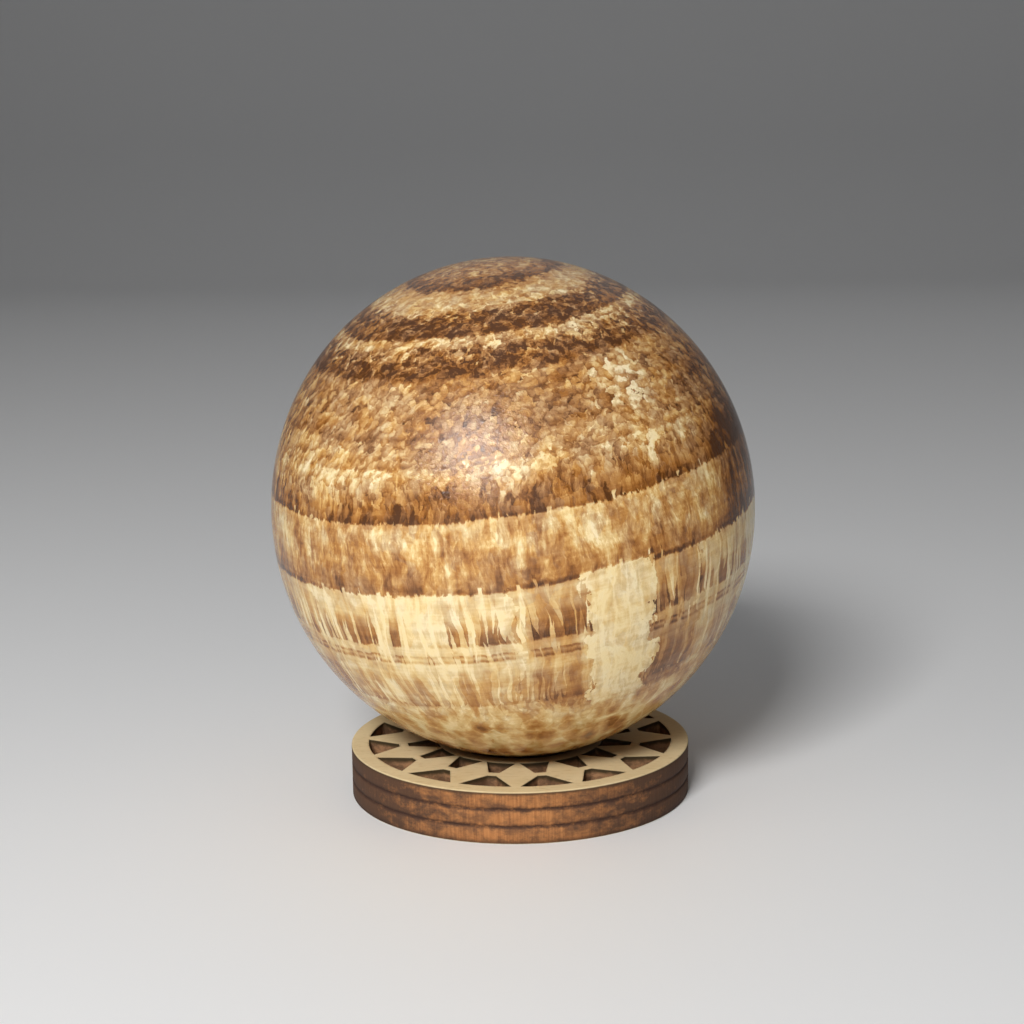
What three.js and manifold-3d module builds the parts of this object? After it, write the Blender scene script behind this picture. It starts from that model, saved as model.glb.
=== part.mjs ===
// A polished stone ball that rests in the middle hole of a flat, round, fretwork board.
// Millimetres, +Z up. The origin is the middle of the board's underside, and -Y is the front.

import * as THREE from 'three';
import { mergeVertices } from 'three/addons/utils/BufferGeometryUtils.js';
import Module from 'manifold-3d';

const wasm = await Module();
wasm.setup();

// The ball: an egg of revolution that is only a little longer than it is wide.
const BALL_HALF_WIDTH = 28.7;
const BALL_HALF_LENGTH = 29.7;
const BALL_LEAN = THREE.MathUtils.degToRad( 5.5 ); // its long axis leans to -X on the way up
const BALL_CENTRE = new THREE.Vector3( - 0.4, 0, 34.8 );
const BALL_SEGMENTS = 56;
const BALL_RINGS = 36;

// The board: three plies of equal thickness, with a burnt groove at each glue line.
const BOARD_RADIUS = 20.5;
const BOARD_THICKNESS = 6.15;
const BOARD_SEGMENTS = 96;
const PLY_COUNT = 3;
const GLUE_GROOVE_DEPTH = 0.12;
const GLUE_GROOVE_WIDTH = 0.34;
const TOP_ARRIS = 0.25;
const TOP_ARRIS_STEPS = 3;
const FOOT_ARRIS = 0.15;
const SEAT_RADIUS = 8.2; // the middle hole, through the board
const SEAT_ARRIS = 0.25;

// The fretwork: a ring of upright lozenges is left standing between two rings of wedge-shaped holes.
const LOZENGES = 16;
const STEP = 2 * Math.PI / LOZENGES;
const FRONT = - Math.PI / 2; // one lozenge points at the front

const OUTER_HOLE_RIM = 18.4; // the curved base of an outer hole
const OUTER_HOLE_APEX = 14.8; // its blunt inner end
const OUTER_BLUNT_WIDTH = 1.0; // the width of that end
const OUTER_NECK = 1.1; // the wood left between two outer holes at the rim

const INNER_HOLE_BASE = 10.1; // the curved base of an inner hole
const INNER_HOLE_APEX = 13.7; // its blunt outer end
const INNER_BLUNT_WIDTH = 1.25; // the width of that end
const INNER_NECK = 0.48; // the wood left between two inner holes at the base

const BASE_STEPS = 5; // chords along a hole's curved base
const CUT_MARGIN = 1.0; // how far a cutter reaches past each face of the board

// Turns a closed three.js geometry into a manifold solid.
function solidOf( geometry ) {

	geometry.deleteAttribute( 'normal' );
	geometry.deleteAttribute( 'uv' );
	const merged = mergeVertices( geometry, 1e-4 );
	const vertProperties = new Float32Array( merged.attributes.position.array );
	const triVerts = new Uint32Array( merged.index.array );
	return new wasm.Manifold( new wasm.Mesh( { numProp: 3, vertProperties, triVerts } ) );

}

// Turns a manifold solid back into a flat-shaded three.js geometry.
function geometryOf( solid ) {

	const { vertProperties, triVerts } = solid.getMesh();
	const geometry = new THREE.BufferGeometry();
	geometry.setAttribute( 'position', new THREE.BufferAttribute( new Float32Array( vertProperties ), 3 ) );
	geometry.setIndex( new THREE.BufferAttribute( new Uint32Array( triVerts ), 1 ) );
	return geometry;

}

// The board before it is fretted: a ring turned about Z from its (radius, height) section.
function boardBlank() {

	const section = [];
	const add = ( radius, height ) => section.push( new THREE.Vector2( radius, height ) );
	const plyThickness = BOARD_THICKNESS / PLY_COUNT;

	add( SEAT_RADIUS, 0 );
	add( BOARD_RADIUS - FOOT_ARRIS, 0 );
	add( BOARD_RADIUS, FOOT_ARRIS );
	for ( let i = 1; i < PLY_COUNT; i ++ ) {

		const glueLine = i * plyThickness;
		add( BOARD_RADIUS, glueLine - GLUE_GROOVE_WIDTH / 2 );
		add( BOARD_RADIUS - GLUE_GROOVE_DEPTH, glueLine );
		add( BOARD_RADIUS, glueLine + GLUE_GROOVE_WIDTH / 2 );

	}

	for ( let i = 0; i <= TOP_ARRIS_STEPS; i ++ ) {

		const turn = ( i / TOP_ARRIS_STEPS ) * Math.PI / 2;
		const radius = BOARD_RADIUS - TOP_ARRIS * ( 1 - Math.cos( turn ) );
		add( radius, BOARD_THICKNESS - TOP_ARRIS * ( 1 - Math.sin( turn ) ) );

	}

	add( SEAT_RADIUS + SEAT_ARRIS, BOARD_THICKNESS );
	add( SEAT_RADIUS, BOARD_THICKNESS - SEAT_ARRIS );
	add( SEAT_RADIUS, 0 );

	const blank = new THREE.LatheGeometry( section, BOARD_SEGMENTS );
	blank.rotateX( Math.PI / 2 ); // the lathe turns about Y
	return solidOf( blank );

}

// A wedge-shaped cutter on the +X axis, with a curved base at one radius and a blunt end at another.
function wedgeCutter( baseRadius, halfAngle, apexRadius, bluntWidth ) {

	const outline = new THREE.Shape();
	outline.moveTo( apexRadius, - bluntWidth / 2 );
	for ( let i = 0; i <= BASE_STEPS; i ++ ) {

		const angle = halfAngle * ( 2 * i / BASE_STEPS - 1 );
		outline.lineTo( baseRadius * Math.cos( angle ), baseRadius * Math.sin( angle ) );

	}

	outline.lineTo( apexRadius, bluntWidth / 2 );
	outline.closePath();

	const depth = BOARD_THICKNESS + 2 * CUT_MARGIN;
	const cutter = new THREE.ExtrudeGeometry( outline, { depth, bevelEnabled: false } );
	cutter.translate( 0, 0, - CUT_MARGIN );
	return cutter;

}

// The board with both rings of holes cut through it.
function fretworkBoard() {

	const outerHalfAngle = STEP / 2 - OUTER_NECK / 2 / OUTER_HOLE_RIM;
	const innerHalfAngle = STEP / 2 - INNER_NECK / 2 / INNER_HOLE_BASE;
	let board = boardBlank();
	for ( let i = 0; i < LOZENGES; i ++ ) {

		const between = FRONT + ( i + 0.5 ) * STEP;
		const outer = wedgeCutter( OUTER_HOLE_RIM, outerHalfAngle, OUTER_HOLE_APEX, OUTER_BLUNT_WIDTH );
		const inner = wedgeCutter( INNER_HOLE_BASE, innerHalfAngle, INNER_HOLE_APEX, INNER_BLUNT_WIDTH );
		board = board.subtract( solidOf( outer.rotateZ( between ) ) );
		board = board.subtract( solidOf( inner.rotateZ( between ) ) );

	}

	return geometryOf( board );

}

const ballGeometry = new THREE.SphereGeometry( 1, BALL_SEGMENTS, BALL_RINGS );
ballGeometry.rotateX( Math.PI / 2 );
ballGeometry.scale( BALL_HALF_WIDTH, BALL_HALF_WIDTH, BALL_HALF_LENGTH );
const ballMaterial = new THREE.MeshStandardMaterial( { color: 0xb98653, roughness: 0.22, metalness: 0 } );
const ball = new THREE.Mesh( ballGeometry, ballMaterial );
ball.name = 'stone_sphere';
ball.position.copy( BALL_CENTRE );
ball.rotation.y = - BALL_LEAN;

const boardMaterial = new THREE.MeshStandardMaterial( {
	color: 0xcda873,
	roughness: 0.7,
	metalness: 0,
	flatShading: true,
} );
const board = new THREE.Mesh( fretworkBoard(), boardMaterial );
board.name = 'stand';

const part = new THREE.Group();
part.add( board, ball );

export default part;
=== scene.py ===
"""A polished ball of banded aragonite resting in the middle hole of a round, laser-cut plywood board.

Metres, +Z up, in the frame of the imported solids: the origin is the middle of the board's underside and -Y is the front.
"""

import math

import bpy
import numpy as np
from mathutils import Matrix, Vector


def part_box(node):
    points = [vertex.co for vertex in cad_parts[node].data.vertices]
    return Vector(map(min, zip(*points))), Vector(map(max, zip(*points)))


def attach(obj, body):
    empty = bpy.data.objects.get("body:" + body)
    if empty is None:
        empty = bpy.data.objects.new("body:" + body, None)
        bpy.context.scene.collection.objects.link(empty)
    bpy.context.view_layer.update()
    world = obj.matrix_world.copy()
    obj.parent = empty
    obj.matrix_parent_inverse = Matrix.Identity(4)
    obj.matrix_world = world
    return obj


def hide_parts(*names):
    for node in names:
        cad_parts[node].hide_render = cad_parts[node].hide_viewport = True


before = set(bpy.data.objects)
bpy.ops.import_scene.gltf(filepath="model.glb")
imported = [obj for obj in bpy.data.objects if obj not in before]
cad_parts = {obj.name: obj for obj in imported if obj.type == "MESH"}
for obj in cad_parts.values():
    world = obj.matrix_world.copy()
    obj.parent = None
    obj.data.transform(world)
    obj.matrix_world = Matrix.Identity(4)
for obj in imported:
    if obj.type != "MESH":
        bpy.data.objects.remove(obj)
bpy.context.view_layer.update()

MM = 0.001

# ---------------------------------------------------------------- places and sizes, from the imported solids

board_low, board_high = (np.array(corner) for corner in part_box("stand"))
ball_low, ball_high = (np.array(corner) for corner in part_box("stone_sphere"))

BOARD_RADIUS = float(board_high[0] - board_low[0]) / 2
BOARD_TOP = float(board_high[2])
BOARD_FOOT = float(board_low[2])
PLY = (BOARD_TOP - BOARD_FOOT) / 3

BALL_LEAN = math.radians(5.5)  # the long axis leans to -X on the way up
ball_centre = (ball_low + ball_high) / 2
ball_reach = (ball_high - ball_low) / 2
BALL_HALF_WIDTH = float(ball_reach[1])
BALL_HALF_LENGTH = math.sqrt(ball_reach[0] ** 2 + ball_reach[2] ** 2 - ball_reach[1] ** 2)

# The stone grew along this axis, so its layers are flat sheets across it.
GROWTH_AXIS = Vector((-0.118, -0.089, 0.989)).normalized()


# ---------------------------------------------------------------- meshes from arrays


def piece_from(name, points, faces, material):
    """A smooth-shaded mesh object at the origin, from an (n, 3) array of points and lists of corner numbers."""
    mesh = bpy.data.meshes.new(name)
    mesh.from_pydata([tuple(p) for p in points], [], [tuple(f) for f in faces])
    mesh.polygons.foreach_set("use_smooth", np.ones(len(mesh.polygons), bool))
    mesh.materials.append(material)
    mesh.update()
    piece = bpy.data.objects.new(name, mesh)
    bpy.context.scene.collection.objects.link(piece)
    return piece


def grid_faces(rows, columns, closed_columns=True, offset=0):
    """The corner numbers of the quads between the points of a rows by columns grid, row by row."""
    row = np.arange(rows - 1)[:, None] * columns
    column = np.arange(columns if closed_columns else columns - 1)[None, :]
    following = (column + 1) % columns
    corners = np.stack(
        np.broadcast_arrays(row + column, row + following, row + columns + following, row + columns + column), -1
    )
    return corners.reshape(-1, 4) + offset


BALL_AROUND, BALL_ALONG = 320, 200  # cells round the ball and from pole to pole
BALL_WAVE = 0.00055  # the surface is drawn in by this share of its distance, and each wave is two thirds of it


def stone_ball(name, material):
    """An egg of revolution, turned to its lean, with a ground surface that is never quite true.

    At turn u and fall v the unit direction is (sin v cos u, sin v sin u, cos v). Its parts are scaled by the half
    width and the half length, then drawn in by 16 microns and pushed in or out by three slow waves of that direction,
    of 11 microns each.
    """
    u = np.linspace(0, 2 * np.pi, BALL_AROUND, endpoint=False)[None, :]
    v = np.linspace(0, np.pi, BALL_ALONG + 1)[1:-1, None]
    ones = np.ones_like(u)
    direction = np.stack([np.sin(v) * np.cos(u), np.sin(v) * np.sin(u), np.cos(v) * ones], -1).reshape(-1, 3)
    direction = np.vstack([[0, 0, 1], direction, [0, 0, -1]])
    scale = np.array([BALL_HALF_WIDTH, BALL_HALF_WIDTH, BALL_HALF_LENGTH])
    x, y, z = direction.T
    waves = np.sin(5.1 * x + 3.3 * y + 1.0) + np.sin(4.2 * y - 6.4 * z + 2.0) + np.sin(7.3 * z + 4.6 * x)
    points = direction * scale * (1 - BALL_WAVE + BALL_WAVE * waves[:, None] / 1.5)
    lean = np.array(Matrix.Rotation(-BALL_LEAN, 3, "Y"))
    points = points @ lean.T + ball_centre

    # Quads between the rings, and a fan of triangles at each pole.
    rings = BALL_ALONG - 1
    top, bottom = 0, len(points) - 1
    last_ring = 1 + (rings - 1) * BALL_AROUND
    faces = [list(f[::-1]) for f in grid_faces(rings, BALL_AROUND, offset=1)]
    faces += [[top, 1 + i, 1 + (i + 1) % BALL_AROUND] for i in range(BALL_AROUND)]
    faces += [[bottom, last_ring + (i + 1) % BALL_AROUND, last_ring + i] for i in range(BALL_AROUND)]
    return piece_from(name, points, faces, material)


# ---------------------------------------------------------------- short ways to build node trees


def linear(red, green, blue):
    """A colour given in 0 to 255 screen values, as the linear values that a shader takes."""
    screen = np.array([red, green, blue]) / 255
    values = np.where(screen <= 0.04045, screen / 12.92, ((screen + 0.055) / 1.055) ** 2.4)
    return (*(float(x) for x in values), 1.0)


class Tree:
    """A node tree with short ways to add nodes. An input takes a value or another node's output."""

    def __init__(self, tree):
        self.tree = tree

    def feed(self, socket, value):
        if isinstance(value, bpy.types.NodeSocket):
            self.tree.links.new(value, socket)
        elif value is not None:
            socket.default_value = value

    def node(self, kind, inputs=None, **settings):
        made = self.tree.nodes.new(kind)
        for key, value in settings.items():
            setattr(made, key, value)
        for key, value in (inputs or {}).items():
            self.feed(made.inputs[key], value)
        return made

    def group(self, shared, **inputs):
        return self.node("ShaderNodeGroup", inputs, node_tree=shared).outputs

    # Numbers.

    def math(self, operation, a, b=None, c=None):
        return self.node("ShaderNodeMath", {0: a, 1: b, 2: c}, operation=operation).outputs[0]

    def times(self, first, *others):
        """The product of two or more numbers."""
        for other in others:
            first = self.math("MULTIPLY", first, other)
        return first

    def plus(self, total, value, share=1.0):
        """total + value * share."""
        return self.math("MULTIPLY_ADD", value, share, total)

    def between(self, a, b, share):
        """a + (b - a) * share."""
        return self.plus(a, self.math("SUBTRACT", b, a), share)

    def centred(self, grey):
        """A grey of 0 to 1 as -0.5 to 0.5."""
        return self.math("SUBTRACT", grey, 0.5)

    def spread(self, value, low, high, to_low=0.0, to_high=1.0):
        """Takes low..high to to_low..to_high, and holds the ends."""
        inputs = {"Value": value, "From Min": low, "From Max": high, "To Min": to_low, "To Max": to_high}
        return self.node("ShaderNodeMapRange", inputs).outputs["Result"]

    def radius(self, x, y):
        return self.math("SQRT", self.plus(self.times(y, y), x, x))

    # Vectors.

    def vector(self, operation, a, b):
        second = 3 if operation == "SCALE" else 1
        return self.node("ShaderNodeVectorMath", {0: a, second: b}, operation=operation).outputs[0]

    def parts(self, vector):
        return tuple(self.node("ShaderNodeSeparateXYZ", {0: vector}).outputs)

    def joined(self, x, y, z):
        return self.node("ShaderNodeCombineXYZ", {0: x, 1: y, 2: z}).outputs[0]

    def noise_node(self, vector, scale=1.0, detail=2.0, roughness=0.5, distortion=0.0):
        inputs = {"Vector": vector, "Scale": scale, "Detail": detail, "Roughness": roughness, "Distortion": distortion}
        return self.node("ShaderNodeTexNoise", inputs)

    def noise(self, *inputs):
        """Noise as a grey that stays near 0.5."""
        return self.noise_node(*inputs).outputs[0]

    def wander(self, *inputs):
        """Noise as a vector whose parts stay near 0."""
        return self.vector("SUBTRACT", self.noise_node(*inputs).outputs["Color"], (0.5, 0.5, 0.5))

    # Colours.

    def channels(self, colour):
        return tuple(self.node("ShaderNodeSeparateColor", {0: colour}).outputs)

    def ramp(self, factor, stops, interpolation="LINEAR"):
        made = self.node("ShaderNodeValToRGB", {0: factor})
        colours = made.color_ramp
        colours.interpolation = interpolation
        while len(colours.elements) < len(stops):
            colours.elements.new(1.0)
        for element, (position, colour) in zip(colours.elements, stops):
            element.position = position
            element.color = colour
        return made.outputs[0]

    def mix(self, factor, a, b):
        """The colour a where the factor is 0, and b where it is 1."""
        return self.node("ShaderNodeMix", {0: factor, 6: a, 7: b}, data_type="RGBA").outputs[2]


def new_group(name, inputs, outputs):
    """An empty shader node group with the named sockets; gives it, its tree, and its input and output sockets."""
    shared = bpy.data.node_groups.new(name, "ShaderNodeTree")
    for socket, kind in inputs:
        shared.interface.new_socket(socket, in_out="INPUT", socket_type=kind)
    for socket, kind in outputs:
        shared.interface.new_socket(socket, in_out="OUTPUT", socket_type=kind)
    tree = Tree(shared)
    return shared, tree, tree.node("NodeGroupInput").outputs, tree.node("NodeGroupOutput").inputs


def new_material(name, inputs):
    """A material with one Principled BSDF whose inputs take values; gives the material, its tree and the shader."""
    material = bpy.data.materials.new(name)
    material.use_nodes = True
    material.node_tree.nodes.clear()
    tree = Tree(material.node_tree)
    shader = tree.node("ShaderNodeBsdfPrincipled", inputs)
    tree.node("ShaderNodeOutputMaterial", {"Surface": shader.outputs[0]})
    return material, tree, shader


# ---------------------------------------------------------------- shared effects


def fibre_group():
    """Fibres along Z: cells and noise drawn out along Z, in units of the fibre's width and length.

    Tone is a random grey for each fibre, Rim rises from the fibre's middle to its joints, Rise runs from below to
    above its middle, and Streak is a softer noise of the same proportions.
    """
    shared, tree, given, result = new_group(
        "fibres",
        [("Vector", "NodeSocketVector"), ("Width", "NodeSocketFloat"), ("Length", "NodeSocketFloat")],
        [(socket, "NodeSocketFloat") for socket in ("Tone", "Rim", "Rise", "Streak")],
    )
    x, y, z = tree.parts(given["Vector"])
    across = tree.math("DIVIDE", 1.0, given["Width"])
    drawn = tree.joined(tree.times(x, across), tree.times(y, across), tree.math("DIVIDE", z, given["Length"]))
    cell = tree.node("ShaderNodeTexVoronoi", {"Vector": drawn, "Scale": 1.0}).outputs
    tree.feed(result["Tone"], tree.channels(cell["Color"])[0])
    tree.feed(result["Rim"], cell["Distance"])
    tree.feed(result["Rise"], tree.parts(tree.vector("SUBTRACT", drawn, cell["Position"]))[2])
    tree.feed(result["Streak"], tree.noise(drawn, 1.0, 3.0, 0.6))
    return shared


FIBRES = fibre_group()


# ---------------------------------------------------------------- the stone

# The stone's colour as the iron in it rises from 0 to 1, where it is warm and where it is cool.
WARM_STONE = [
    (0.0, linear(238, 214, 160)),
    (0.15, linear(224, 192, 132)),
    (0.33, linear(205, 159, 94)),
    (0.5, linear(182, 129, 68)),
    (0.66, linear(158, 103, 48)),
    (0.82, linear(130, 80, 34)),
    (1.0, linear(88, 52, 22)),
]
COOL_STONE = [
    (0.0, linear(238, 220, 180)),
    (0.15, linear(214, 190, 146)),
    (0.33, linear(192, 158, 114)),
    (0.5, linear(170, 129, 88)),
    (0.66, linear(144, 103, 68)),
    (0.82, linear(116, 80, 52)),
    (1.0, linear(82, 54, 36)),
]

# The layers from the top down: height along the growth axis in millimetres from the ball's centre, iron, how much iron
# differs from fibre to fibre, and how much it differs from grain to grain. Most layers darken downwards to a sharp end.
UPPER_LAYERS = [
    (29.7, 0.68, 0.15, 0.35),
    (29.0, 0.72, 0.15, 0.35),
    (28.75, 0.9, 0.15, 0.3),
    (28.2, 1.05, 0.15, 0.25),
    (28.0, 0.52, 0.15, 0.2),
    (27.2, 0.4, 0.15, 0.25),
    (26.6, 0.54, 0.2, 0.4),
    (26.2, 0.96, 0.2, 0.5),
    (25.6, 1.12, 0.2, 0.5),
    (25.2, 0.98, 0.2, 0.5),
    (24.6, 1.14, 0.2, 0.35),
    (24.3, 0.92, 0.2, 0.25),
    (24.15, 0.46, 0.2, 0.3),
    (23.6, 0.58, 0.2, 0.5),
    (23.0, 0.88, 0.2, 0.55),
    (21.9, 1.08, 0.2, 0.55),
    (21.1, 1.02, 0.2, 0.45),
    (20.8, 0.82, 0.2, 0.35),
    (20.4, 0.6, 0.25, 0.42),
    (18.0, 0.56, 0.25, 0.42),
    (15.8, 0.6, 0.25, 0.42),
    (15.3, 0.7, 0.25, 0.35),
    (15.0, 0.52, 0.25, 0.42),
    (13.0, 0.48, 0.3, 0.38),
    (12.45, 0.62, 0.3, 0.2),
    (12.25, 0.36, 0.4, 0.3),
    (11.2, 0.42, 0.5, 0.3),
    (10.4, 0.56, 0.5, 0.3),
    (8.6, 0.7, 0.5, 0.2),
    (6.95, 0.88, 0.4, 0.12),
    (6.75, 0.34, 0.35, 0.1),
    (4.8, 0.34, 0.45, 0.05),
]
LOWER_LAYERS = [
    (4.8, 0.34, 0.45, 0.05),
    (3.6, 0.4, 0.45, 0.05),
    (1.6, 0.48, 0.4, 0.05),
    (0.2, 0.62, 0.3, 0.05),
    (-0.95, 0.69, 0.35, 0.05),
    (-1.1, 0.1, 0.1, 0.05),
    (-3.2, 0.12, 0.14, 0.05),
    (-4.2, 0.22, 0.35, 0.05),
    (-5.4, 0.34, 0.55, 0.05),
    (-7.15, 0.45, 0.62, 0.05),
    (-7.3, 0.12, 0.1, 0.05),
    (-8.3, 0.14, 0.12, 0.05),
    (-8.45, 0.46, 0.5, 0.05),
    (-8.75, 0.16, 0.12, 0.05),
    (-9.2, 0.44, 0.4, 0.05),
    (-9.45, 0.1, 0.08, 0.05),
    (-10.7, 0.14, 0.12, 0.05),
    (-11.8, 0.27, 0.22, 0.05),
    (-14.4, 0.33, 0.26, 0.05),
    (-15.4, 0.48, 0.3, 0.05),
    (-15.6, 0.26, 0.2, 0.05),
    (-17.0, 0.38, 0.12, 0.05),
    (-21.0, 0.48, 0.06, 0.02),
    (-25.0, 0.52, 0.05, 0.02),
    (-29.7, 0.56, 0.05, 0.02),
]

# Upright blocks of paler or browner stone below the middle, between two heights in millimetres: the azimuth where each
# ends, in degrees from the front and rising towards +X, and the iron that it adds. A pale block shows hardly any
# layers.
PALE_BLOCK = -0.4
BLOCKS = [
    (-165, 0.1),
    (-140, PALE_BLOCK),
    (-118, 0.15),
    (-96, -0.1),
    (-78, 0.1),
    (-52, 0.16),
    (1, 0.0),
    (18, 0.2),
    (33, PALE_BLOCK),
    (46, 0.32),
    (70, 0.1),
    (96, -0.12),
    (112, 0.2),
    (131, PALE_BLOCK),
    (152, 0.05),
    (180, 0.22),
]
BLOCKS_TOP, BLOCKS_FOOT = -0.6, -16.4

# Patches above the middle: centre in the growth frame and radius in millimetres, and the iron that each adds. Most are
# paler or browner stone; three are painted light and shade, marked below. Those that add less than BROKEN_BELOW are
# broken into crystals between the grains.
BROKEN_BELOW = -0.2
PATCHES = [
    ((14.6, -18.0, 17.5), 5.2, -0.5),
    ((16.0, -21.0, 11.5), 3.5, -0.25),
    ((-15.0, 17.0, 17.0), 5.0, -0.45),
    ((9.0, 22.5, 14.0), 4.5, -0.45),
    # These two are painted shade and a painted dark reflection on the ball's right side, away from the key light.
    ((26.5, -6.0, 13.0), 11.0, 0.22),
    ((27.6, -7.0, 4.0), 11.0, 0.46),
    # This one is painted light: it pales the front left of the ball, where the key light falls.
    ((-15.4, -19.7, 14.5), 10.0, -0.12),
    ((-24.0, 10.0, 10.0), 12.0, 0.15),
]

# Heights in the growth frame, in millimetres, between which one manner of stone turns into another.
NEAR_TOP = (19.5, 22.0)  # above, pale ridges wander between the grains
GRAINS_ONLY = (12.0, 20.0)  # above, no spikes
RAGGED = (4.0, 12.0)  # above, fibres are more ragged
BARS = (-1.2, -0.9)  # below, pale and brown bars
EVEN_EDGES = (-8.0, -7.4)  # below, layers end more evenly
FOOT = (-19.0, -15.5)  # below, fibres are cut across
GOLD_MIDDLE, GOLD_REACH = 2.85, (3.4, 4.1)  # within this distance of the middle, soft golden streaks
LEANING_FROM = 11.0  # above, fibres lean to the front right
LEAN = (-0.3, 0.45)  # what each millimetre above that height adds to x and y, to stand the fibres up again


def layer_values(tree, height, layers):
    """Iron, fibre contrast and grain contrast at a height, from rows that run from the top down."""
    high, low = layers[0][0], layers[-1][0]
    factor = tree.spread(height, low, high)
    stops = [((level - low) / (high - low), (*values, 1.0)) for level, *values in reversed(layers)]
    return tree.ramp(factor, stops)


def growth_frame():
    """The turn that takes Z to the growth axis and keeps X as level as it can."""
    right = Vector((1, 0, 0))
    right = (right - right.dot(GROWTH_AXIS) * GROWTH_AXIS).normalized()
    away = GROWTH_AXIS.cross(right)
    return Matrix((right, away, GROWTH_AXIS)).transposed()


def place_in_stone(tree):
    """Millimetres from the ball's centre, with Z along the growth axis."""
    inputs = {
        "Vector": tree.node("ShaderNodeTexCoord").outputs["Object"],
        "Location": tuple(ball_centre),
        "Rotation": growth_frame().to_euler(),
        "Scale": (MM, MM, MM),
    }
    return tree.node("ShaderNodeMapping", inputs, vector_type="TEXTURE").outputs[0]


def place_along_fibres(tree, frayed, height):
    """A place whose Z runs along the fibres.

    Below the middle the fibres fan out with the ball's sides, so they show at full length: x and y are widened by the
    ball's half width over the distance from the axis.
    """
    x, y, z = tree.parts(frayed)
    fan = tree.times(tree.spread(height, -21.0, -15.0, 0.3, 0.95), tree.spread(height, 0.0, 6.0, 1.0, 0.0))
    widen = tree.math("DIVIDE", BALL_HALF_WIDTH / MM, tree.math("MAXIMUM", tree.radius(x, y), 8.0))
    widen = tree.between(1.0, widen, fan)
    above = tree.math("MAXIMUM", tree.math("SUBTRACT", height, LEANING_FROM), 0.0)
    return tree.joined(
        tree.plus(tree.times(x, widen), above, LEAN[0]),
        tree.plus(tree.times(y, widen), above, LEAN[1]),
        z,
    )


def toothed_height(tree, height, needles, grains):
    """The height, pushed so that each fibre ends a little off its neighbours and one in ten runs up as a spike."""
    tooth = tree.times(tree.centred(needles["Tone"]), 0.3)
    tooth = tree.plus(tooth, tree.centred(grains["Streak"]), 0.7)
    tooth = tree.times(tooth, tree.spread(height, *EVEN_EDGES, 0.5, 1.0))
    spike = tree.spread(needles["Tone"], 0.9, 1.0, 0.0, 1.1)
    spike = tree.times(spike, tree.spread(height, *GRAINS_ONLY, 1.0, 0.0))
    return tree.math("SUBTRACT", tree.math("ADD", height, tooth), spike)


def iron_of_bars(tree, columns, needles):
    """Whole columns are pale or brown, with pale lines between."""
    bars = tree.spread(columns["Tone"], 0.3, 0.6, -0.45, 0.45)
    bars = tree.math("SUBTRACT", bars, tree.spread(needles["Tone"], 0.68, 0.76, 0.0, 0.8))
    return tree.plus(bars, tree.centred(needles["Streak"]), 0.8)


def iron_of_fibres(tree, along, height, bundles, columns, needles):
    """Broad bundles, columns and needles, with the palest needles standing out, and soft streaks in the gold layer."""
    gold = tree.math("ABSOLUTE", tree.math("SUBTRACT", height, GOLD_MIDDLE))
    gold = tree.spread(gold, *GOLD_REACH, 1.0, 0.0)
    fibre = tree.spread(tree.math("ADD", columns["Tone"], needles["Tone"]), 0.5, 1.5, -0.4, 0.4)
    fibre = tree.plus(fibre, tree.centred(bundles["Tone"]), 0.4)
    fibre = tree.math("SUBTRACT", fibre, tree.spread(needles["Tone"], 0.82, 0.88, 0.0, 0.7))
    fibre = tree.times(fibre, tree.plus(1.0, gold, -0.6))
    fibre = tree.plus(fibre, tree.centred(needles["Streak"]))

    melted = tree.math("ADD", tree.centred(columns["Streak"]), tree.centred(bundles["Streak"]))
    curl = tree.noise(tree.vector("MULTIPLY", along, (1.0, 1.0, 0.45)), 1.5, 3.0, 0.6, 1.0)
    melted = tree.math("SUBTRACT", melted, tree.spread(curl, 0.53, 0.68, 0.0, 0.45))
    melted = tree.math("ADD", melted, tree.spread(curl, 0.34, 0.46, 0.25, 0.0))
    return tree.plus(fibre, tree.times(melted, 1.1), gold)


def iron_of_grains(tree, ragged, height, grains):
    """Each grain pales upwards to a brown joint, and near the top pale ridges wander between dark grains."""
    drawn = tree.vector("MULTIPLY", ragged, (1.0, 1.0, 0.7))
    mottle = tree.spread(tree.noise(drawn, 0.9, 3.0, 0.5, 0.3), 0.32, 0.68, -0.3, 0.3)
    near_top = tree.spread(height, *NEAR_TOP)
    dome = tree.spread(grains["Rim"], 0.2, 0.65, -0.4, 0.4)
    dome = tree.times(dome, tree.spread(near_top, 0.0, 1.0, 0.55, -0.6))
    ridge = tree.math("ABSOLUTE", tree.centred(tree.noise(drawn, 0.7, 3.0, 0.55, 0.6)))
    ridge = tree.times(tree.spread(ridge, 0.0, 0.08, -0.7, 0.0), near_top)
    grain = tree.math("ADD", tree.math("ADD", mottle, ridge), dome)
    grain = tree.plus(grain, grains["Rise"], -0.8)
    grain = tree.plus(grain, tree.centred(grains["Tone"]), 0.5)
    return tree.math("SUBTRACT", grain, tree.spread(grains["Tone"], 0.86, 0.96, 0.0, 0.45))


def iron_of_rounds(tree, foot, bundles, columns):
    """Towards the foot the fibres are cut across, and show as soft brown rounds with pale joints."""
    rounds = tree.plus(bundles["Rim"], tree.centred(columns["Streak"]), 0.3)
    rounds = tree.spread(rounds, 0.2, 0.62, 0.2, -0.26)
    rounds = tree.plus(rounds, tree.centred(bundles["Tone"]), 0.22)
    return tree.times(rounds, foot)


def iron_of_blotches(tree, bent, height):
    """Soft golden blotches in the gold layer and the layers under it."""
    blotch = tree.noise(tree.vector("MULTIPLY", bent, (1.0, 1.0, 0.6)), 0.55, 4.0, 0.6, 0.5)
    blotch = tree.spread(blotch, 0.34, 0.66, -0.22, 0.22)
    return tree.times(blotch, tree.spread(height, 6.0, 7.5, 1.0, 0.0), tree.spread(height, *BARS, 0.6, 1.0))


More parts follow.
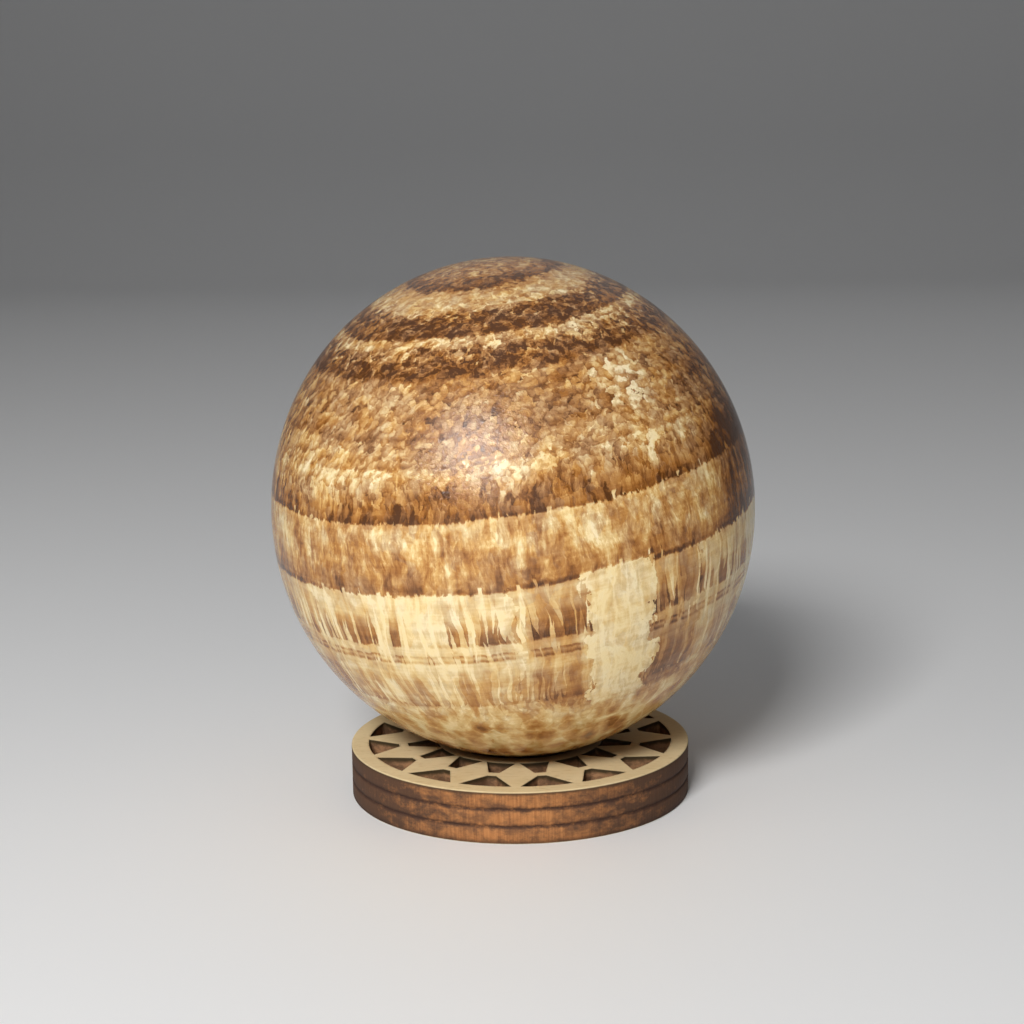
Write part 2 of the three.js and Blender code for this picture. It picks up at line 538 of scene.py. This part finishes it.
def iron_of_blocks(tree, bent, frayed, toothed, needles):
    """Steps of iron round the ball, with ragged edges."""
    x, y, _ = tree.parts(frayed)
    azimuth = tree.math("DEGREES", tree.math("ARCTAN2", x, tree.times(y, -1.0)))
    azimuth = tree.plus(azimuth, needles["Tone"], 1.8)
    azimuth = tree.plus(azimuth, tree.centred(tree.noise(bent, 0.3, 4.0, 0.6)), 16.0)

    # Half grey in the ramp stands for no iron.
    starts = [-180] + [end for end, _ in BLOCKS[:-1]]
    greys = [(iron + 0.5, iron + 0.5, iron + 0.5, 1.0) for _, iron in BLOCKS]
    stops = [((start + 180) / 360, grey) for start, grey in zip(starts, greys)]
    blocks = tree.ramp(tree.spread(azimuth, -180.0, 180.0), stops, "CONSTANT")
    under_top = tree.spread(toothed, BLOCKS_TOP, BLOCKS_TOP + 0.3, 1.0, 0.0)
    over_foot = tree.spread(toothed, BLOCKS_FOOT - 1.0, BLOCKS_FOOT, 0.0, 1.0)
    return tree.times(tree.centred(tree.channels(blocks)[0]), tree.times(under_top, over_foot))


def iron_of_patches(tree, bent, toothed, columns, grains):
    """The patches above the middle, three of them painted light and shade, the palest of them broken into crystals."""
    crystals = tree.spread(grains["Tone"], 0.35, 0.55)
    patches = 0.0
    for centre, radius, added in PATCHES:
        away = tree.node("ShaderNodeVectorMath", {0: bent, 1: centre}, operation="DISTANCE").outputs["Value"]
        near = tree.spread(away, radius * 0.5, radius, added, 0.0)
        patches = tree.math("ADD", tree.times(near, crystals) if added < BROKEN_BELOW else near, patches)
    return tree.times(patches, tree.spread(toothed, *BARS), tree.spread(columns["Streak"], 0.35, 0.65, 0.6, 1.25))


def stone_material():
    """Layers of fibres that stand along the growth axis, polished, with fine pits."""
    material, tree, shader = new_material(
        "banded_aragonite",
        {
            "IOR": 1.53,
            "Specular IOR Level": 0.33,
            "Subsurface Weight": 0.1,
            "Subsurface Radius": (0.9, 0.55, 0.28),
            "Subsurface Scale": 0.7 * MM,
        },
    )

    # Sheets rise and fall a little, and fibres bend a little and are ragged.
    placed = place_in_stone(tree)
    bent = tree.vector("ADD", placed, tree.vector("MULTIPLY", tree.wander(placed, 0.14), (2.4, 2.4, 0.9)))
    height = tree.parts(bent)[2]
    fray = tree.vector("SCALE", tree.wander(placed, 1.1, 3.0, 0.65), tree.spread(height, *RAGGED, 0.3, 1.0))
    frayed = tree.vector("ADD", bent, fray)
    along = place_along_fibres(tree, frayed, height)
    ragged = tree.vector("ADD", along, tree.vector("SCALE", fray, 0.6))
    bundles = tree.group(FIBRES, Vector=along, Width=2.7, Length=9.0)
    columns = tree.group(FIBRES, Vector=along, Width=1.2, Length=9.0)
    needles = tree.group(FIBRES, Vector=along, Width=0.42, Length=7.0)
    grains = tree.group(FIBRES, Vector=ragged, Width=0.85, Length=1.7)
    foot = tree.spread(height, *FOOT, 1.0, 0.0)

    # The layers, and how far fibres and grains differ in each.
    toothed = toothed_height(tree, height, needles, grains)
    upper = layer_values(tree, toothed, UPPER_LAYERS)
    lower = layer_values(tree, toothed, LOWER_LAYERS)
    in_upper = tree.math("GREATER_THAN", toothed, UPPER_LAYERS[-1][0])
    iron, fibre_share, grain_share = tree.channels(tree.mix(in_upper, lower, upper))
    bars = iron_of_bars(tree, columns, needles)
    fibres = iron_of_fibres(tree, along, height, bundles, columns, needles)
    fibres = tree.between(fibres, bars, tree.spread(height, *BARS, 1.0, 0.0))
    iron = tree.plus(iron, fibres, fibre_share)
    iron = tree.plus(iron, iron_of_grains(tree, ragged, height, grains), grain_share)

    # Faint sheets across all fibres, then blocks, patches, rounds and blotches.
    sheet = tree.centred(tree.noise(tree.vector("MULTIPLY", bent, (0.08, 0.08, 1.6)), 1.0, 3.0, 0.6))
    iron = tree.plus(iron, sheet, 0.35)
    blocks = iron_of_blocks(tree, bent, frayed, toothed, needles)
    iron = tree.math("ADD", iron, tree.math("MAXIMUM", blocks, -0.15))
    iron = tree.math("ADD", iron, iron_of_patches(tree, bent, toothed, columns, grains))
    iron = tree.math("ADD", iron, iron_of_rounds(tree, foot, bundles, columns))
    blotch = iron_of_blotches(tree, bent, height)
    iron = tree.math("ADD", iron, blotch)
    iron = tree.plus(iron, tree.centred(grains["Streak"]), tree.spread(foot, 0.0, 1.0, 0.15, 0.06))

    # A pale block has soft spots and faint sheets of its own.
    pale = tree.plus(0.09, blotch, 1.3)
    pale = tree.plus(pale, sheet, 0.35)
    pale = tree.plus(pale, bars, 0.07)
    iron = tree.between(iron, pale, tree.spread(blocks, PALE_BLOCK + 0.05, PALE_BLOCK + 0.15, 0.92, 0.0))

    warmth = tree.noise(placed, 0.28, 3.0, 0.6)
    warmth = tree.math("ADD", warmth, tree.spread(height, 9.0, 14.0, 0.0, 0.1))
    warmth = tree.plus(warmth, foot, -0.2)
    warmth = tree.spread(tree.plus(warmth, grains["Tone"], 0.25), 0.5, 0.9)
    colour = tree.mix(warmth, tree.ramp(iron, WARM_STONE), tree.ramp(iron, COOL_STONE))
    tree.feed(shader.inputs["Base Color"], colour)

    pits = tree.noise(placed, 3.2, 4.0, 0.65)
    tree.feed(shader.inputs["Roughness"], tree.spread(pits, 0.4, 0.62, 0.09, 0.18))
    relief = tree.times(tree.plus(pits, needles["Streak"], 0.5), tree.spread(height, -24.0, -17.0, 0.15, 1.0))
    bump = tree.node("ShaderNodeBump", {"Strength": 0.8, "Distance": 0.07 * MM, "Height": relief})
    tree.feed(shader.inputs["Normal"], bump.outputs[0])
    return material


# ---------------------------------------------------------------- the board

# Radii are shares of the board's radius, and widths are lengths.
LOZENGES = 16
SEAT = 0.4
INNER_BASE = 0.4927
INNER_APEX = 0.6683
OUTER_APEX = 0.722
OUTER_BASE = 0.8976
INNER_NECK = 0.48 * MM
INNER_BLUNT_WIDTH = 1.25 * MM
OUTER_NECK = 1.1 * MM
OUTER_BLUNT_WIDTH = 1.0 * MM

# The cells of the board's grid: how many rows each ring takes, and how many columns the wood beside a hole and the hole
# take in each of the steps round the board.
SEAT_ROWS, INNER_ROWS, OUTER_ROWS, RIM_ROWS = 4, 8, 10, 4
WOOD_COLUMNS, HOLE_COLUMNS = 4, 8
STEP_COLUMNS = 2 * WOOD_COLUMNS + HOLE_COLUMNS

CHAR_DEPTH = 0.06 * MM  # below the top face, a hole's wall is all burnt from here down, and the rim's burn begins here


def side_angle(radius, base, apex, neck, blunt_width):
    """The angle from a wedge hole's axis to its straight side, at each radius.

    The side runs from the corner of the curved base, half a step less half a neck from the axis, to the corner of the
    blunt end. The share of the way along it at a radius is the root of |corner + share * (end - corner)| = radius.
    """
    half = np.pi / LOZENGES - neck / 2 / base
    corner = np.array([base * np.cos(half), base * np.sin(half)])
    along = np.array([apex, blunt_width / 2]) - corner
    a, b = along @ along, corner @ along
    c = corner @ corner - radius**2
    root = (-b + np.sign(apex - base) * np.sqrt(np.maximum(b * b - a * c, 0))) / a
    point = corner + np.clip(root, 0, 1)[:, None] * along
    return np.arctan2(point[:, 1], point[:, 0])


def wall_profile(is_rim):
    """How far a wall stands out from the cut line, and its height, from the top face down to the underside.

    The rim has a rounded top arris and a groove at each glue line, and a hole's wall has a crisp arris and faint
    grooves. Each groove is a cosine dip 0.4 mm wide.
    """
    arris = (0.16 if is_rim else 0.07) * MM
    foot = 0.12 * MM
    depth = (0.12 if is_rim else 0.05) * MM
    half_width = 0.2 * MM
    turn = np.linspace(0, np.pi / 2, 5)
    out = [-arris * (1 - np.sin(turn))]
    height = [BOARD_TOP - arris * (1 - np.cos(turn))]
    for line in (BOARD_FOOT + 2 * PLY, BOARD_FOOT + PLY):
        dip = np.linspace(-1, 1, 5)
        out.append(-depth * (1 + np.cos(np.pi * dip)) / 2)
        height.append(line - dip * half_width)
    out.append(np.array([0.0, -foot]))
    height.append(np.array([BOARD_FOOT + foot, BOARD_FOOT]))
    return np.concatenate(out), np.concatenate(height)


def board_plan():
    """The points of a polar grid over the board, and its cells, left out where a hole is.

    A row is a radius. In each of the steps round the board, the columns of the hole spread over the hole and the others
    over the wood on both sides of it, so the grid's own lines follow the holes' sides.
    """
    seat = np.linspace(SEAT, INNER_BASE, SEAT_ROWS + 1)[:-1]
    inner = np.linspace(INNER_BASE, INNER_APEX, INNER_ROWS + 1)
    middle = (INNER_APEX + OUTER_APEX) / 2
    outer = np.linspace(OUTER_APEX, OUTER_BASE, OUTER_ROWS + 1)
    rim = np.linspace(OUTER_BASE, 1, RIM_ROWS + 1)[1:]
    rows = np.concatenate([seat, inner, [middle], outer, rim]) * BOARD_RADIUS
    inner_base, inner_apex = INNER_BASE * BOARD_RADIUS, INNER_APEX * BOARD_RADIUS
    outer_base, outer_apex = OUTER_BASE * BOARD_RADIUS, OUTER_APEX * BOARD_RADIUS
    inner_angle = side_angle(rows, inner_base, inner_apex, INNER_NECK, INNER_BLUNT_WIDTH)
    outer_angle = side_angle(rows, outer_base, outer_apex, OUTER_NECK, OUTER_BLUNT_WIDTH)
    opening = np.where(rows < middle * BOARD_RADIUS, inner_angle, outer_angle)[:, None]

    # Across a step, share rises from 0 at its edge to 1 at the hole's side, and side runs from -1 to 1 over the hole.
    half_step = np.pi / LOZENGES
    rise = np.linspace(0, 1, WOOD_COLUMNS + 1)[:-1]
    share = np.concatenate([rise, np.ones(HOLE_COLUMNS + 1), rise[:0:-1]])[None, :]
    beside = np.ones(WOOD_COLUMNS)
    side = np.concatenate([-beside, np.linspace(-1, 1, HOLE_COLUMNS + 1), beside[1:]])[None, :]
    local = np.where(share < 1, side * (half_step + (opening - half_step) * share), side * opening)
    steps = -np.pi / 2 + half_step + np.arange(LOZENGES) * 2 * half_step
    angle = (steps[None, :, None] + local[:, None, :]).reshape(len(rows), -1)
    points = np.stack([rows[:, None] * np.cos(angle), rows[:, None] * np.sin(angle)], -1).reshape(-1, 2)

    # The flip makes the cells run anticlockwise seen from above, so that they face up.
    mid_row = (rows[:-1] + rows[1:]) / 2 / BOARD_RADIUS
    in_ring = ((mid_row > INNER_BASE) & (mid_row < INNER_APEX)) | ((mid_row > OUTER_APEX) & (mid_row < OUTER_BASE))
    column = np.arange(angle.shape[1]) % STEP_COLUMNS
    in_hole = (column >= WOOD_COLUMNS) & (column < WOOD_COLUMNS + HOLE_COLUMNS)
    hole = in_ring[:, None] & in_hole[None, :]
    return points, grid_faces(len(rows), angle.shape[1])[~hole.ravel()][:, ::-1]


def open_edges(points, cells):
    """The edges that one cell alone uses, and at each of their points the mean of their outward unit normals.

    A cell runs anticlockwise, so the outside is on an edge's right.
    """
    edges = np.stack([cells, np.roll(cells, -1, axis=1)], -1).reshape(-1, 2)
    key = edges.min(1) * len(points) + edges.max(1)
    _, first, count = np.unique(key, return_index=True, return_counts=True)
    edges = edges[first[count == 1]]
    run = points[edges[:, 1]] - points[edges[:, 0]]
    outward = np.stack([run[:, 1], -run[:, 0]], -1)
    outward /= np.linalg.norm(outward, axis=1, keepdims=True)
    normal = np.zeros_like(points)
    np.add.at(normal, edges[:, 0], outward)
    np.add.at(normal, edges[:, 1], outward)
    length = np.linalg.norm(normal, axis=1, keepdims=True)
    return edges, np.divide(normal, length, out=np.zeros_like(normal), where=length > 0)


def fretwork_board(name, material):
    """The board: its plan as a top face and an underside, with a wall carried round every open edge.

    Each point of an open edge carries the wall's profile out along its normal.
    """
    flat, cells = board_plan()
    edges, normal = open_edges(flat, cells)
    rim_out, rim_height = wall_profile(True)
    hole_out, hole_height = wall_profile(False)
    levels = len(rim_out)
    used = np.unique(edges)
    on_rim = np.linalg.norm(flat[used], axis=1) > 0.99 * BOARD_RADIUS
    out = np.where(on_rim[:, None], rim_out, hole_out)
    height = np.where(on_rim[:, None], rim_height, hole_height)
    wall = flat[used][:, None, :] + normal[used][:, None, :] * out[..., None]
    wall = np.concatenate([wall, height[..., None]], -1)

    inset = np.zeros(len(flat))
    inset[used] = out[:, 0]
    top = np.column_stack([flat + normal * inset[:, None], np.full(len(flat), BOARD_TOP)])
    inset[used] = out[:, -1]
    under = np.column_stack([flat + normal * inset[:, None], np.full(len(flat), BOARD_FOOT)])

    # Points are the top grid, the underside grid, then the walls' inner levels.
    between = wall[:, 1:-1].reshape(-1, 3)
    points = np.vstack([top, under, between])
    place = np.full(len(flat), -1)
    place[used] = np.arange(len(used))
    number = np.empty((len(used), levels), int)
    number[:, 0] = used
    number[:, -1] = used + len(flat)
    number[:, 1:-1] = 2 * len(flat) + np.arange(len(used) * (levels - 2)).reshape(len(used), -1)
    a, b = number[place[edges[:, 0]]], number[place[edges[:, 1]]]
    walls = np.stack([b[:, :-1], a[:, :-1], a[:, 1:], b[:, 1:]], -1).reshape(-1, 4)
    faces = np.vstack([cells, cells[:, ::-1] + len(flat), walls])

    # The marks that the material reads.
    char, hole_wall, cut_edge = np.zeros((3, len(points)))
    cut_edge[used[~on_rim]] = 1
    depth = BOARD_TOP - between[:, 2]
    on_rim = np.repeat(on_rim, levels - 2)
    char[2 * len(flat):] = np.clip(np.where(on_rim, (depth - CHAR_DEPTH) / 1.5, depth) / CHAR_DEPTH, 0, 1)
    hole_wall[2 * len(flat):] = ~on_rim

    # Grid points inside a hole carry nothing, so they go.
    kept = np.unique(faces)
    renumber = np.full(len(points), -1)
    renumber[kept] = np.arange(len(kept))
    piece = piece_from(name, points[kept], renumber[faces], material)
    for mark, values in (("char", char), ("hole_wall", hole_wall), ("cut_edge", cut_edge)):
        attribute = piece.data.attributes.new(mark, "FLOAT", "POINT")
        attribute.data.foreach_set("value", values[kept].astype(np.float32))
    return piece


def top_face_colour(tree, x, y, z, placed):
    """A pale sanded face with a faint straight grain along X, flecks and a slow change of tone, stained by smoke along
    the cuts, and with painted shade round the middle hole.
    """
    grain = tree.noise(tree.joined(tree.times(x, 0.1), tree.times(y, 1.5), z), 1.0, 4.0)
    cloud = tree.noise(placed, 0.25, 3.0)
    tone = tree.plus(tree.times(cloud, 0.85), grain, 0.15)
    top = tree.mix(tree.spread(tone, 0.3, 0.7), linear(214, 192, 148), linear(224, 205, 163))
    fleck = tree.noise(tree.joined(x, tree.times(y, 5.0), z), 0.9, 2.0)
    top = tree.mix(tree.spread(fleck, 0.56, 0.7, 0.0, 0.4), top, linear(186, 158, 114))

    # Smoke stained the face along the cuts. Round the middle hole, where the ball shades the face, the same brown is
    # painted shade.
    smoke = tree.noise(placed, 0.7, 4.0, 0.65)
    cut_edge = tree.node("ShaderNodeAttribute", attribute_name="cut_edge").outputs["Fac"]
    stain = tree.times(tree.math("POWER", cut_edge, 6.0), tree.spread(smoke, 0.38, 0.62, 0.15, 0.7))
    # Painted shade: the face darkens towards the middle hole, under the ball.
    seat, seat_shade_end = SEAT * BOARD_RADIUS / MM, INNER_BASE * BOARD_RADIUS / MM + 0.4
    seat_shade = tree.spread(tree.radius(x, y), seat, seat_shade_end, 0.9, 0.0)
    return tree.mix(tree.math("MAXIMUM", stain, seat_shade), top, linear(126, 86, 54))


def glue_lines(tree, level):
    """Two greys that fall from 1 at a glue line: one for its thin char line and one for the wider band of soot."""
    char_line = soot_band = 0.0
    for line in (PLY / MM, 2 * PLY / MM):
        near = tree.math("ABSOLUTE", tree.math("SUBTRACT", level, line))
        char_line = tree.math("MAXIMUM", char_line, tree.spread(near, 0.08, 0.34, 1.0, 0.0))
        soot_band = tree.math("MAXIMUM", soot_band, tree.spread(near, 0.2, 1.0, 1.0, 0.0))
    return char_line, soot_band


def board_material():
    """Pale sanded faces, and walls that the laser burnt.

    "char" is 1 on a wall, "hole_wall" on a hole's wall, and "cut_edge" where a face meets a hole.
    """
    material, tree, shader = new_material("laser_cut_ply", {"Roughness": 0.78, "IOR": 1.45, "Specular IOR Level": 0.3})
    place = tree.node("ShaderNodeTexCoord").outputs["Object"]
    placed = tree.vector("SCALE", place, 1 / MM)
    x, y, z = tree.parts(placed)
    board_top = BOARD_TOP / MM

    # The burnt walls: orange brown with upright scorch lines and grey-brown soot blotches, and greyer and darker
    # towards the left and right sides.
    upright = tree.group(FIBRES, Vector=placed, Width=0.22, Length=6.0)
    wall = tree.mix(tree.spread(upright["Streak"], 0.3, 0.75), linear(150, 97, 56), linear(190, 130, 78))
    blotch = tree.noise(tree.joined(x, y, tree.times(z, 1.6)), 0.5, 6.0, 0.75)
    towards_sides = tree.math("ABSOLUTE", tree.math("DIVIDE", x, BOARD_RADIUS / MM))
    towards_sides = tree.spread(towards_sides, 0.2, 0.9, 0.08, 0.42)
    soot = tree.spread(tree.math("ADD", blotch, towards_sides), 0.5, 0.82, 0.0, 0.88)
    wall = tree.mix(soot, wall, linear(66, 49, 40))

    # Each glue line is a thin, wavy, broken char line in a wider band of soot.
    level = tree.plus(z, tree.centred(tree.noise(placed, 0.8, 4.0, 0.6)), 0.5)
    glue, soot_band = glue_lines(tree, level)
    soot_band = tree.times(soot_band, tree.spread(blotch, 0.4, 0.6, 0.0, 0.55))
    wall = tree.mix(soot_band, wall, linear(92, 64, 48))
    glue = tree.times(glue, tree.spread(blotch, 0.36, 0.5, 0.5, 0.85))
    wall = tree.mix(glue, wall, linear(56, 36, 28))
    # Darkest at the foot of the wall, fading out over its lowest 0.6 mm.
    wall = tree.mix(tree.spread(level, 0.0, 0.6, 0.85, 0.0), wall, linear(54, 36, 30))

    # Just under the top face the beam burnt deepest, and the holes' walls are dark all the way down.
    top_burn = tree.spread(level, board_top - 0.5, board_top - 0.25, 0.0, 0.85)
    wall = tree.mix(top_burn, wall, linear(72, 52, 34))
    hole_wall = tree.node("ShaderNodeAttribute", attribute_name="hole_wall").outputs["Fac"]
    burnt = tree.mix(tree.spread(blotch, 0.42, 0.62), linear(106, 78, 55), linear(162, 120, 84))
    burnt = tree.mix(tree.spread(level, board_top - 0.7, board_top - 0.3), burnt, linear(62, 48, 26))
    wall = tree.mix(hole_wall, wall, burnt)

    char = tree.node("ShaderNodeAttribute", attribute_name="char").outputs["Fac"]
    top = top_face_colour(tree, x, y, z, placed)
    tree.feed(shader.inputs["Base Color"], tree.mix(char, top, wall))
    rough = tree.math("SUBTRACT", tree.times(upright["Streak"], char), glue)
    bump = tree.node("ShaderNodeBump", {"Strength": 0.6, "Distance": 0.08 * MM, "Height": rough})
    tree.feed(shader.inputs["Normal"], bump.outputs[0])
    return material


# ---------------------------------------------------------------- the pieces

ball = stone_ball("stone_ball", stone_material())
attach(ball, "root")
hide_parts("stone_sphere")

board = fretwork_board("fretwork_board", board_material())
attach(board, "root")
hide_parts("stand")


# ---------------------------------------------------------------- floor, light and camera


def studio_floor():
    """A level sheet that turns up into a back wall: a straight run, a quarter circle and a straight rise."""
    front, run, radius, rise = -3.0, 0.75, 0.5, 1.2
    turn = np.linspace(0, np.pi / 2, 24)
    y = np.concatenate([[front], run + radius * np.sin(turn), [run + radius]])
    z = np.concatenate([[0.0], radius * (1 - np.cos(turn)), [radius + rise]])
    x = np.array([-3.5, 3.5])
    points = np.stack([np.tile(x, len(y)), np.repeat(y, 2), np.repeat(z, 2)], -1)
    points[:, 2] += BOARD_FOOT
    material, _, _ = new_material("pale_floor", {"Base Color": linear(238, 238, 238), "Roughness": 0.55})
    floor = piece_from("studio_floor", points, grid_faces(len(y), 2, closed_columns=False), material)


def area_light(name, direction, distance, size, power):
    """A white soft box that looks at the ball's centre from a direction."""
    data = bpy.data.lights.new(name, "AREA")
    data.shape = "RECTANGLE"
    data.size, data.size_y = size
    data.energy = power
    lamp = bpy.data.objects.new(name, data)
    towards = Vector(direction).normalized()
    lamp.location = Vector(ball_centre) + towards * distance
    lamp.rotation_euler = towards.to_track_quat("Z", "Y").to_euler()
    bpy.context.scene.collection.objects.link(lamp)


def world_light(strength):
    """A faint, slightly cool light from everywhere."""
    world = bpy.data.worlds.new("studio")
    world.use_nodes = True
    background = world.node_tree.nodes["Background"]
    background.inputs["Color"].default_value = (0.93, 0.95, 1.0, 1.0)
    background.inputs["Strength"].default_value = strength
    bpy.context.scene.world = world


def studio_camera():
    """Looks down a little, from a little to the right of the front, with a slight roll."""
    pitch, roll, azimuth = math.radians(11.09), math.radians(0.84), math.radians(1.75)
    distance = 0.239
    forward = Vector((0, math.cos(pitch), -math.sin(pitch)))
    right = Vector((1, 0, 0))
    up = right.cross(forward)
    right, up = (
        right * math.cos(roll) - up * math.sin(roll),
        up * math.cos(roll) + right * math.sin(roll),
    )
    turn = Matrix.Rotation(azimuth, 3, "Z")
    axes = Matrix((turn @ right, turn @ up, turn @ -forward)).transposed()
    aim = Vector((-0.56 * MM, 0, BOARD_TOP + 28.05 * MM))
    camera = bpy.data.objects.new("camera", bpy.data.cameras.new("camera"))
    camera.data.sensor_width = 36
    camera.data.lens = 70.31
    camera.data.clip_start = 0.01
    camera.matrix_world = Matrix.Translation(turn @ (aim - forward * distance)) @ axes.to_4x4()
    bpy.context.scene.collection.objects.link(camera)
    bpy.context.scene.camera = camera


studio_floor()
area_light("key", (-0.24, -0.80, 0.55), 0.55, (0.18, 0.11), 3.0)
area_light("left_fill", (-0.75, -0.60, 0.65), 0.6, (0.3, 0.3), 0.17)
area_light("low_fill", (0.0, -1.0, 0.12), 0.8, (0.6, 0.3), 0.45)
area_light("back", (0.0, 1.0, 0.8), 0.8, (0.8, 0.6), 0.35)
area_light("overhead", (0.0, -0.1, 1.0), 0.9, (0.9, 0.9), 0.7)
world_light(0.035)
studio_camera()
bpy.context.scene.view_settings.view_transform = "Standard"
